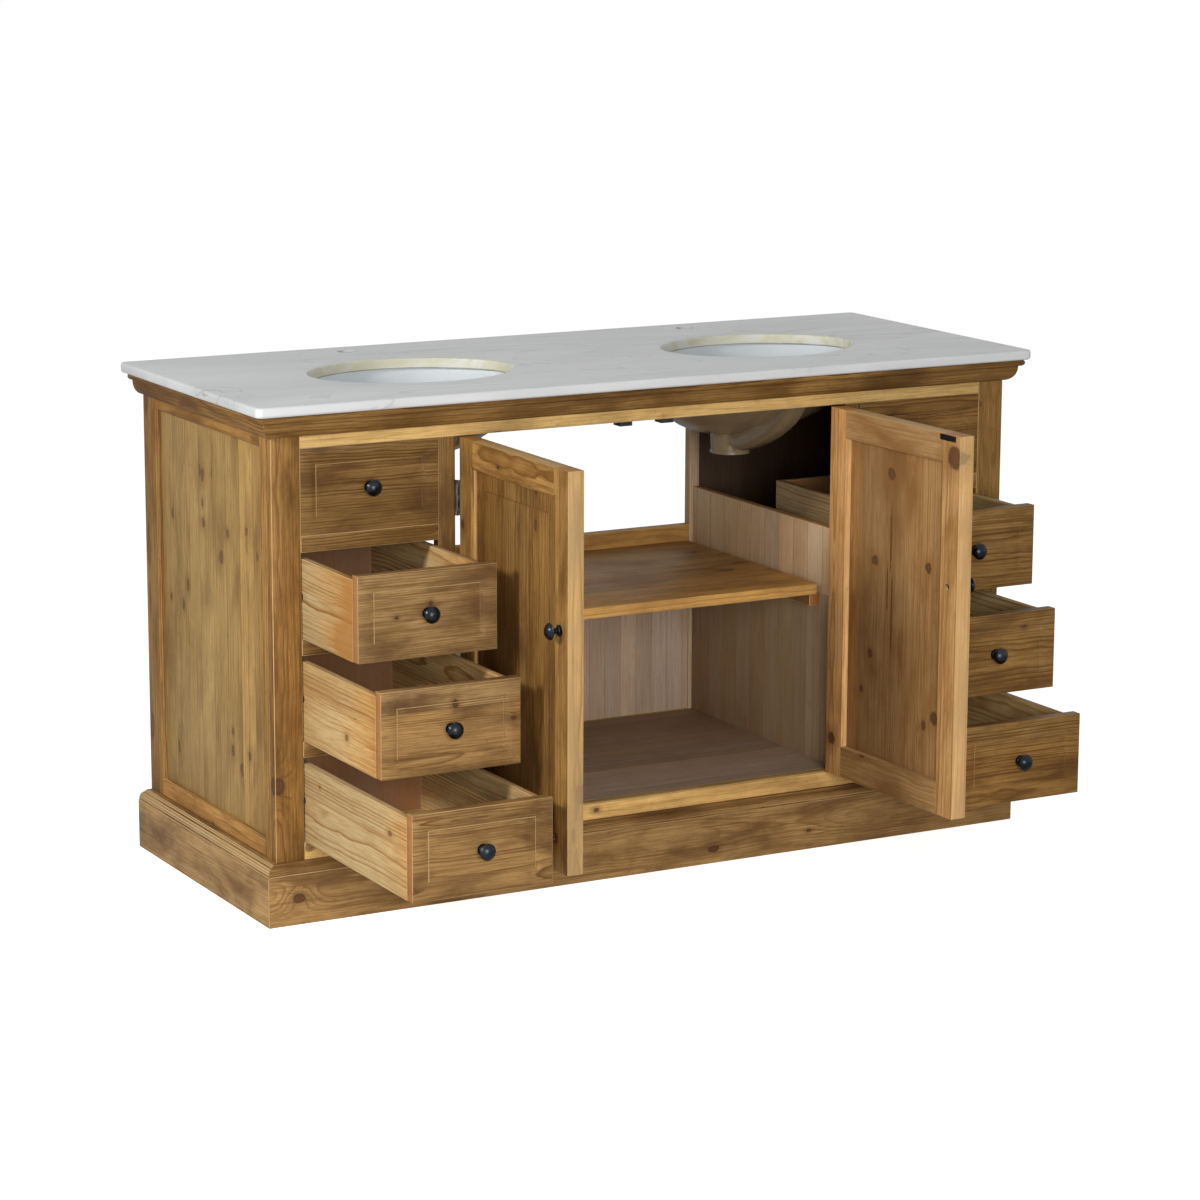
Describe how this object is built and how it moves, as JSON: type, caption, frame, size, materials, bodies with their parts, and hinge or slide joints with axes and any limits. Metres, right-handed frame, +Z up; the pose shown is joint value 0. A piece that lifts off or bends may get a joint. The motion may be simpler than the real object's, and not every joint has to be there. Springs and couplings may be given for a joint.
{
  "type": "double basin vanity unit",
  "caption": "Pine bathroom vanity cabinet with a marble top, undermount oval basins, side drawers on wooden runners and a pair of hinged doors.",
  "frame": {"origin": "floor level at the middle of the cabinet, on the foot of the centre brace", "axes": "+X along the cabinet to the viewer's right, +Y from the fronts to the back, +Z up"},
  "size_m": [1.524, 1.0072, 0.879],
  "materials": {
    "stained_pine": "waxed honey-brown pine",
    "raw_pine": "lightly waxed pale pine",
    "inner_pine": "matt, fine straight grain",
    "shelf_pine": "satin",
    "marble": "polished, faint grey veins",
    "ceramic": "gloss",
    "knob_metal": "satin black",
    "hinge_metal": "satin dark bronze",
    "nylon": "matt black"
  },
  "bodies": {
    "cabinet": {"marble_top": "marble", "basin_left": "ceramic", "basin_right": "ceramic", "cornice": "stained_pine", "face_stiles": "stained_pine", "face_posts": "stained_pine", "top_rail": "stained_pine", "bottom_rail": "stained_pine", "drawer_rails_left": "stained_pine", "drawer_rails_right": "stained_pine", "false_front_left": "stained_pine", "false_front_right": "stained_pine", "side_frame_left": "stained_pine", "side_frame_right": "stained_pine", "side_panel_left": "stained_pine", "side_panel_right": "stained_pine", "partition_left": "inner_pine", "partition_right": "inner_pine", "floor_board": "inner_pine", "shelf": "shelf_pine", "shelf_cleats": "inner_pine", "back_posts": "inner_pine", "back_rails": "inner_pine", "back_panels": "inner_pine", "front_stretcher": "inner_pine", "runners_left": "inner_pine", "runners_right": "inner_pine", "drawer_glides": "nylon", "plinth": "stained_pine", "plinth_cap": "stained_pine", "centre_brace": "inner_pine", "door_catches": "nylon", "hinge_frame_leaves": "hinge_metal", "false_knobs": "knob_metal"},
    "door_left": {"door_frame_left": "stained_pine", "door_panel_left": "stained_pine", "door_knob_left": "knob_metal", "door_fittings_left": "hinge_metal"},
    "door_right": {"door_frame_right": "stained_pine", "door_panel_right": "stained_pine", "door_knob_right": "knob_metal", "door_fittings_right": "hinge_metal"},
    "drawer_l1": {"drawer_front_l1": "stained_pine", "drawer_box_l1": "raw_pine", "drawer_knob_l1": "knob_metal"},
    "drawer_l2": {"drawer_front_l2": "stained_pine", "drawer_box_l2": "raw_pine", "drawer_knob_l2": "knob_metal"},
    "drawer_l3": {"drawer_front_l3": "stained_pine", "drawer_box_l3": "raw_pine", "drawer_knob_l3": "knob_metal"},
    "drawer_r1": {"drawer_front_r1": "stained_pine", "drawer_box_r1": "raw_pine", "drawer_knob_r1": "knob_metal"},
    "drawer_r2": {"drawer_front_r2": "stained_pine", "drawer_box_r2": "raw_pine", "drawer_knob_r2": "knob_metal"},
    "drawer_r3": {"drawer_front_r3": "stained_pine", "drawer_box_r3": "raw_pine", "drawer_knob_r3": "knob_metal"}
  },
  "joints": [
    {"name": "door_left_hinge", "type": "hinge", "parent": "cabinet", "child": "door_left", "pos_m": [-0.38625, -0.283, 0.467], "axis": [0, 0, -1], "range_deg": [-90, 4]},
    {"name": "door_right_hinge", "type": "hinge", "parent": "cabinet", "child": "door_right", "pos_m": [0.38625, -0.283, 0.467], "axis": [0, 0, 1], "range_deg": [-92, 2]},
    {"name": "drawer_l1_slide", "type": "slide", "parent": "cabinet", "child": "drawer_l1", "axis": [0, -1, 0], "range_m": [-0.412, 0.003]},
    {"name": "drawer_l2_slide", "type": "slide", "parent": "cabinet", "child": "drawer_l2", "axis": [0, -1, 0], "range_m": [-0.3, 0.115]},
    {"name": "drawer_l3_slide", "type": "slide", "parent": "cabinet", "child": "drawer_l3", "axis": [0, -1, 0], "range_m": [-0.217, 0.113]},
    {"name": "drawer_r1_slide", "type": "slide", "parent": "cabinet", "child": "drawer_r1", "axis": [0, -1, 0], "range_m": [-0.339, 0.076]},
    {"name": "drawer_r2_slide", "type": "slide", "parent": "cabinet", "child": "drawer_r2", "axis": [0, -1, 0], "range_m": [-0.256, 0.159]},
    {"name": "drawer_r3_slide", "type": "slide", "parent": "cabinet", "child": "drawer_r3", "axis": [0, -1, 0], "range_m": [-0.184, 0.146]}
  ]
}
